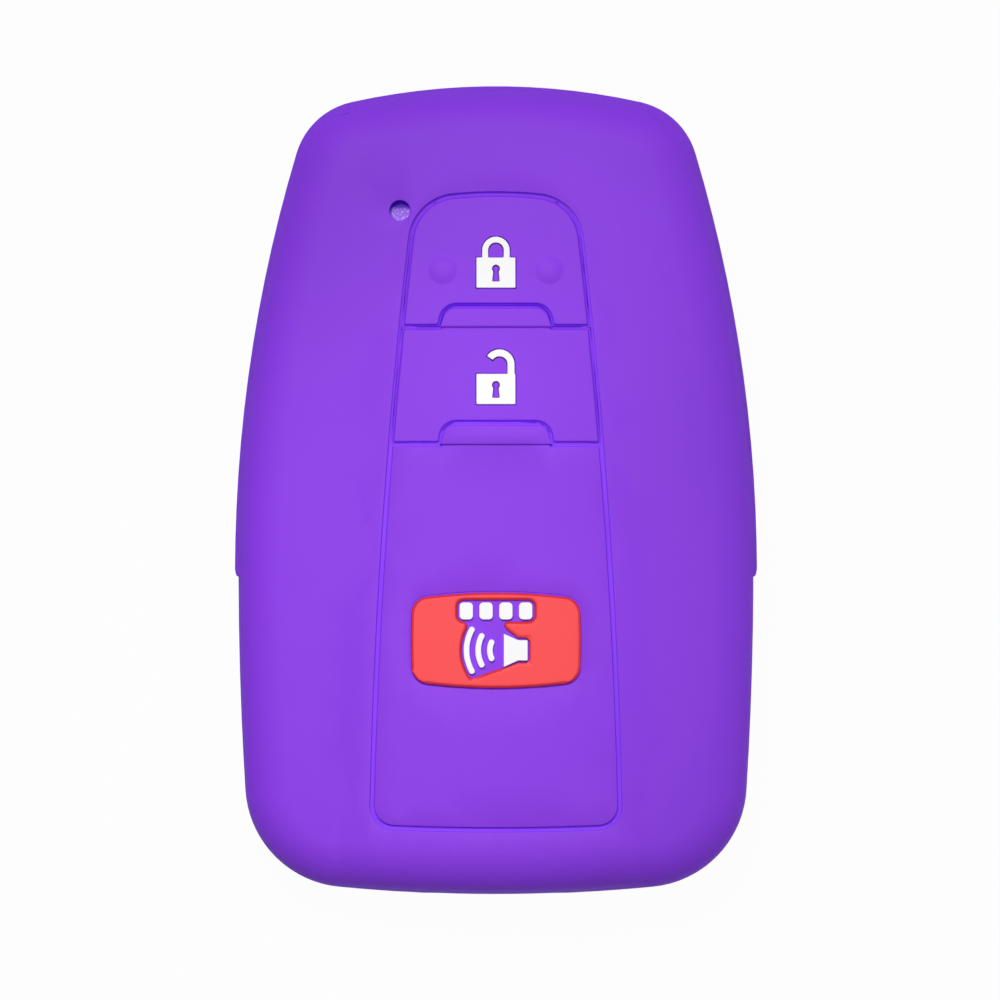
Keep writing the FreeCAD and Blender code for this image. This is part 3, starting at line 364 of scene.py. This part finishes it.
def makeFrostedFloorWithPaintedShadow(name, look):
    # the light's thin floor: a painted shadow under its upper wall, pale below, with bright glint specks only
    # where it is not shaded
    material = bpy.data.materials.new(name)
    material.use_nodes = True
    tree = material.node_tree
    shader = tree.nodes["Principled BSDF"]
    shader.inputs["Roughness"].default_value = 0.7
    shader.inputs["Specular IOR Level"].default_value = 0.3
    place = addNode(tree, "ShaderNodeTexCoord", (-1100, 0))
    split = addNode(tree, "ShaderNodeSeparateXYZ", (-900, 100))
    fall = addNode(tree, "ShaderNodeMapRange", (-700, 100), interpolation_type="SMOOTHSTEP")
    fall.inputs["From Min"].default_value = look["shadeFrom"]
    fall.inputs["From Max"].default_value = look["shadeTo"]
    tone = addNode(tree, "ShaderNodeMix", (-400, 100), data_type="RGBA")
    tone.inputs["A"].default_value = look["pale"]
    tone.inputs["B"].default_value = look["shaded"]
    speck = addNode(tree, "ShaderNodeTexNoise", (-900, -200))
    speck.inputs["Scale"].default_value = look["speckScale"]
    bright = addNode(tree, "ShaderNodeMapRange", (-700, -200))
    bright.inputs["From Min"].default_value = look["speckFrom"]
    bright.inputs["From Max"].default_value = look["speckTo"]
    lit = addNode(tree, "ShaderNodeMath", (-500, -200), operation="MULTIPLY")
    clear = addNode(tree, "ShaderNodeMath", (-600, -50), operation="SUBTRACT")
    clear.inputs[0].default_value = 1.0
    glint = addNode(tree, "ShaderNodeMix", (-150, 50), data_type="RGBA")
    glint.inputs["B"].default_value = look["glint"]
    tree.links.new(place.outputs["Object"], split.inputs["Vector"])
    tree.links.new(place.outputs["Object"], speck.inputs["Vector"])
    tree.links.new(split.outputs["Y"], fall.inputs["Value"])
    tree.links.new(fall.outputs["Result"], tone.inputs["Factor"])
    tree.links.new(fall.outputs["Result"], clear.inputs[1])
    tree.links.new(speck.outputs["Fac"], bright.inputs["Value"])
    tree.links.new(bright.outputs["Result"], lit.inputs[0])
    tree.links.new(clear.outputs["Value"], lit.inputs[1])
    tree.links.new(tone.outputs["Result"], glint.inputs["A"])
    tree.links.new(lit.outputs["Value"], glint.inputs["Factor"])
    tree.links.new(glint.outputs["Result"], shader.inputs["Base Color"])
    return material


# the shaded colour is painted shadow from the recess's upper wall
frostedFloorWithPaintedShadow = makeFrostedFloorWithPaintedShadow("frostedFloorWithPaintedShadow", {
    "shadeFrom": 26.85 * mm, "shadeTo": 27.35 * mm, "pale": (0.37, 0.17, 0.75, 1),
    "shaded": (0.12, 0.015, 0.5, 1), "glint": (0.85, 0.75, 0.95, 1),
    "speckScale": 5200, "speckFrom": 0.56, "speckTo": 0.7,
})
print("materials made")


# cover

shellLook = {
    "tidyAngle": 3, "sharpAngle": 35, "edgeRound": 0.07 * mm, "edgeSteps": 2, "smoothAngle": 50,
    "beside": ("lock_button", "unlock_button", "panic_button"), "besideReach": 0.06 * mm,
    "barLow": Vector((3.8, 6.2, 15.8)) * mm, "barHigh": Vector((4.05, 6.3, 17.2)) * mm, "barJoin": 0.125 * mm,
    "lightPlace": (-9.23 * mm, 26.9 * mm), "lightReach": 0.98 * mm, "lightFacing": 0.8,
}
beltLook = {
    "endPlace": -8.3 * mm, "slack": 0.05 * mm, "reach": 0.4 * mm, "wall": 24.86 * mm, "proud": 0.32 * mm,
    "endFacing": -0.9, "endRound": 0.7 * mm, "cuts": 2, "footHeight": 4.3 * mm, "footReach": 1.2 * mm,
}
shell = copyNode("silicone_shell", "coverShell")


def isBeltEnd(face):
    beside = abs(face.center.x) > beltLook["wall"] - beltLook["reach"]
    facing = face.normal.y < beltLook["endFacing"]
    return beside and facing and abs(face.center.y - beltLook["endPlace"]) < beltLook["slack"]


# the belt's square ends get a round that runs into the side wall
selectFaces(shell, isBeltEnd)
bpy.ops.mesh.subdivide(number_cuts=beltLook["cuts"])
bpy.ops.object.mode_set(mode="OBJECT")
for corner in shell.data.vertices:
    share = min((abs(corner.co.x) - beltLook["wall"]) / beltLook["proud"], 1)
    if share > 0 and abs(corner.co.y - beltLook["endPlace"]) < beltLook["reach"]:
        corner.co.y += beltLook["endRound"] * (1 - math.sqrt(1 - share * share))
joinClose(shell, shellLook["barLow"], shellLook["barHigh"], shellLook["barJoin"])


def isBeltFoot(point):
    # the lower corner of a belt's end is too crowded for a round
    beside = abs(point.x) > beltLook["wall"] - beltLook["reach"] and point.z < beltLook["footHeight"]
    return beside and abs(point.y - beltLook["endPlace"]) < beltLook["footReach"]


roundEdges(shell, shellLook, isBeltFoot)
shell.data.materials.append(purpleSilicone)
shell.data.materials.append(frostedFloorWithPaintedShadow)
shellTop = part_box("silicone_shell")[1].z
for face in shell.data.polygons:
    off = math.hypot(face.center.x - shellLook["lightPlace"][0], face.center.y - shellLook["lightPlace"][1])
    facing = face.normal.z > shellLook["lightFacing"] and face.center.z > shellTop / 2
    if facing and off < shellLook["lightReach"]:
        face.material_index = 1
standFor(shell, "silicone_shell", "shell")
print("cover shell:", len(shell.data.polygons), "faces")


# press zones and what lies on them

padLook = {
    "tidyAngle": 3, "sharpAngle": 40, "edgeRound": 0.12 * mm, "edgeSteps": 3, "smoothAngle": 50,
    "beside": ("silicone_shell",), "besideReach": 0.3 * mm, "voxel": 0.085, "rubs": 2, "rubShare": 0.5,
    "lipReach": 0.06 * mm, "lipGrowth": 0.03 * mm, "lipSink": 0.01 * mm, "lipAngle": 30, "lipFacing": 0.5,
}
redLook = {
    "tidyAngle": 3, "sharpAngle": 40, "edgeRound": 0.26 * mm, "edgeSteps": 1, "smoothAngle": 50,
    "beside": ("panic_button",), "besideReach": 0.1 * mm, "voxel": 0.075, "rubs": 3, "rubShare": 0.5,
}
inlayLook = {
    "tidyAngle": 3, "sharpAngle": 40, "edgeRound": 0.05 * mm, "edgeSteps": 2, "smoothAngle": 50,
    "beside": ("lock_button", "unlock_button", "panic_button"), "besideReach": 0.1 * mm,
    "voxel": 0.04, "rubs": 2, "rubShare": 0.5,
}
for node, pieceName, body, slot, material, look in (
        ("lock_button", "lockPad", "lock_pad", "purple_silicone", purpleSilicone, padLook),
        ("unlock_button", "unlockPad", "unlock_pad", "purple_silicone", purpleSilicone, padLook),
        ("panic_button", "panicBase", "panic_pad", "purple_silicone", purpleSilicone, padLook),
        ("panic_red_face", "redFace", "panic_pad", "red_silicone", redSilicone, redLook),
        ("lock_icon", "closedPadlock", "lock_pad", "white_silicone", whiteSilicone, inlayLook),
        ("unlock_icon", "openPadlock", "unlock_pad", "white_silicone", whiteSilicone, inlayLook),
        ("panic_speaker_icon", "loudspeaker", "panic_pad", "white_silicone", whiteSilicone, inlayLook),
        ("panic_sound_waves", "soundWaves", "panic_pad", "white_silicone", whiteSilicone, inlayLook),
        ("panic_hold_marks", "holdMarks", "panic_pad", "white_silicone", whiteSilicone, inlayLook)):
    piece = copyNode(node, pieceName)
    roundEdges(piece, look)
    softSkin(piece, look)
    piece.data.materials.append(material)
    standFor(piece, node, body)
    print(pieceName + ":", len(piece.data.polygons), "faces")

for node, lipName, body in (
        ("lock_button", "lockLip", "lock_pad"), ("unlock_button", "unlockLip", "unlock_pad")):
    lip = addLip(node, lipName, padLook)
    lip.data.materials.append(purpleSilicone)
    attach(lip, body)
    print(lipName + ":", len(lip.data.polygons), "faces")


# lip of the cover that runs round the panic pad and closes its moat

moatLook = {"clear": 0.006 * mm, "reach": 0.13 * mm, "depth": 0.14 * mm, "flatFacing": 0.5}
lowCorner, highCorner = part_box("panic_button")
halfWide = (highCorner.x - lowCorner.x) / 2
halfHigh = (highCorner.y - lowCorner.y) / 2
padMiddle = (lowCorner + highCorner) / 2
moatLip = copyNode("panic_button", "moatLip")
selectFaces(moatLip, lambda face: abs(face.normal.z) > moatLook["flatFacing"])
bpy.ops.mesh.delete(type="FACE")
bpy.ops.object.mode_set(mode="OBJECT")
for corner in moatLip.data.vertices:
    corner.select = corner.co.z < padMiddle.z
bpy.ops.object.mode_set(mode="EDIT")
bpy.ops.mesh.select_mode(type="VERT")
bpy.ops.mesh.delete(type="VERT")
bpy.ops.mesh.select_all(action="SELECT")
bpy.ops.transform.translate(value=(0, 0, -moatLook["depth"]))
inner = (1 + moatLook["clear"] / halfWide, 1 + moatLook["clear"] / halfHigh, 1)
bpy.ops.transform.resize(value=inner, center_override=padMiddle)
bpy.ops.mesh.extrude_edges_move()
outer = (1 + moatLook["reach"] / halfWide, 1 + moatLook["reach"] / halfHigh, 1)
bpy.ops.transform.resize(value=outer, center_override=padMiddle)
bpy.ops.mesh.select_all(action="SELECT")
bpy.ops.mesh.normals_make_consistent(inside=False)
bpy.ops.object.mode_set(mode="OBJECT")
bpy.ops.object.shade_smooth()
moatLip.data.materials.append(purpleSilicone)
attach(moatLip, "shell")
print("moat lip:", len(moatLip.data.polygons), "faces")


# dark edges round the padlocks, where the white sits in the purple: their darker purple is painted shade

rimLook = {"growth": 0.11 * mm, "depth": 0.285 * mm, "smoothAngle": 40}
for node, rimName, body in (("lock_icon", "closedRim", "lock_pad"), ("unlock_icon", "openRim", "unlock_pad")):
    rim = copyNode(node, rimName)
    growAndSink(rim, rimLook["growth"], rimLook["depth"])
    bpy.ops.object.shade_smooth_by_angle(angle=math.radians(rimLook["smoothAngle"]))
    rim.data.materials.append(shadedRimSilicone)
    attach(rim, body)
    print(rimName + ":", len(rim.data.polygons), "faces")


# floor, light and camera

floorLook = {
    "size": 3.0, "below": 0.03 * mm, "colour": (0.55, 0.55, 0.56, 1), "shown": 0.97,
    "windowMiddle": -11.2 * mm, "windowHalfWide": 18 * mm, "windowHalfHigh": 19.5 * mm,
}
bpy.ops.object.select_all(action="DESELECT")
bpy.ops.mesh.primitive_plane_add(size=floorLook["size"], location=(0, 0, -floorLook["below"]))
floor = bpy.context.active_object
floor.name = "studioFloor"
paper = bpy.data.materials.new("palePaper")
paper.use_nodes = True
tree = paper.node_tree
tree.nodes.clear()
out = addNode(tree, "ShaderNodeOutputMaterial", (700, 0))
diffuse = addNode(tree, "ShaderNodeBsdfDiffuse", (0, 100))
diffuse.inputs["Color"].default_value = floorLook["colour"]
white = addNode(tree, "ShaderNodeEmission", (0, -100))
rays = addNode(tree, "ShaderNodeLightPath", (-600, 300))
seen = addNode(tree, "ShaderNodeMath", (-300, 300), operation="MAXIMUM")
seenToo = addNode(tree, "ShaderNodeMath", (-100, 300), operation="MAXIMUM")
amount = addNode(tree, "ShaderNodeMath", (150, 300), operation="MULTIPLY")
amount.inputs[1].default_value = floorLook["shown"]
# under the cover's back window the paper stays dark
place = addNode(tree, "ShaderNodeTexCoord", (-900, 600))
split = addNode(tree, "ShaderNodeSeparateXYZ", (-700, 600))
across = addNode(tree, "ShaderNodeMath", (-500, 700), operation="COMPARE")
across.inputs[1].default_value = 0
across.inputs[2].default_value = floorLook["windowHalfWide"]
along = addNode(tree, "ShaderNodeMath", (-500, 500), operation="COMPARE")
along.inputs[1].default_value = floorLook["windowMiddle"]
along.inputs[2].default_value = floorLook["windowHalfHigh"]
under = addNode(tree, "ShaderNodeMath", (-300, 600), operation="MULTIPLY")
bare = addNode(tree, "ShaderNodeMath", (-100, 600), operation="SUBTRACT")
bare.inputs[0].default_value = 1
shown = addNode(tree, "ShaderNodeMath", (300, 450), operation="MULTIPLY")
blend = addNode(tree, "ShaderNodeMixShader", (450, 0))
tree.links.new(rays.outputs["Is Camera Ray"], seen.inputs[0])
tree.links.new(rays.outputs["Is Glossy Ray"], seen.inputs[1])
tree.links.new(seen.outputs["Value"], seenToo.inputs[0])
tree.links.new(rays.outputs["Is Transmission Ray"], seenToo.inputs[1])
tree.links.new(seenToo.outputs["Value"], amount.inputs[0])
tree.links.new(place.outputs["Object"], split.inputs["Vector"])
tree.links.new(split.outputs["X"], across.inputs[0])
tree.links.new(split.outputs["Y"], along.inputs[0])
tree.links.new(across.outputs["Value"], under.inputs[0])
tree.links.new(along.outputs["Value"], under.inputs[1])
tree.links.new(under.outputs["Value"], bare.inputs[1])
tree.links.new(bare.outputs["Value"], shown.inputs[0])
tree.links.new(amount.outputs["Value"], shown.inputs[1])
tree.links.new(shown.outputs["Value"], blend.inputs["Fac"])
tree.links.new(diffuse.outputs["BSDF"], blend.inputs[1])
tree.links.new(white.outputs["Emission"], blend.inputs[2])
tree.links.new(blend.outputs["Shader"], out.inputs["Surface"])
floor.data.materials.append(paper)

studio = bpy.data.worlds.new("studio")
bpy.context.scene.world = studio
studio.use_nodes = True
sky = studio.node_tree.nodes["Background"]
sky.inputs["Color"].default_value = (1.0, 1.0, 1.0, 1)
sky.inputs["Strength"].default_value = 0.26


def addLight(kind, name, look):
    bpy.ops.object.light_add(type=kind, location=look["place"])
    light = bpy.context.active_object
    light.name = name
    light.data.energy = look["power"]
    way = Vector(look["aim"]) - Vector(look["place"])
    light.rotation_euler = way.to_track_quat("-Z", "Y").to_euler()
    return light


keyLook = {"place": (-0.14, 0.42, 1.0), "aim": (0, 0, 0.01), "size": 0.22, "power": 6.5}
fillLook = {"place": (0.8, -0.1, 0.08), "aim": (0, 0, 0.01), "size": 0.3, "power": 1.0}
for name, look in (("keyLamp", keyLook), ("rightFill", fillLook)):
    lamp = addLight("AREA", name, look)
    lamp.data.shape = "SQUARE"
    lamp.data.size = look["size"]

# soft pools of light: reach is a pool's radius where it lands
leftLook = {
    "place": (0.15, 0.2, 1.0), "aim": (-14 * mm, -16 * mm, 16 * mm),
    "reach": 44 * mm, "power": 9.5, "bulb": 0.006,
}
topLook = {
    "place": (0, 0.3, 1.0), "aim": (4 * mm, 20 * mm, 16 * mm),
    "reach": 20 * mm, "power": 5.0, "bulb": 0.006,
}
for name, look in (("leftPool", leftLook), ("topPool", topLook)):
    spot = addLight("SPOT", name, look)
    distance = (Vector(look["aim"]) - Vector(look["place"])).length
    spot.data.spot_size = 2 * math.atan(look["reach"] / distance)
    spot.data.spot_blend = 1.0
    spot.data.shadow_soft_size = look["bulb"]

photo = {
    "middle": (0.39 * mm, -0.92 * mm), "across": 96.65 * mm, "distance": 1.2, "level": 8 * mm, "sensor": 36.0,
}
bpy.ops.object.camera_add(location=(*photo["middle"], photo["distance"] + photo["level"]), rotation=(0, 0, 0))
camera = bpy.context.active_object
camera.name = "photoCamera"
camera.data.sensor_width = photo["sensor"]
camera.data.lens = photo["sensor"] * photo["distance"] / photo["across"]
bpy.context.scene.camera = camera
bpy.context.scene.view_settings.view_transform = "Standard"
print("floor, light and camera set")
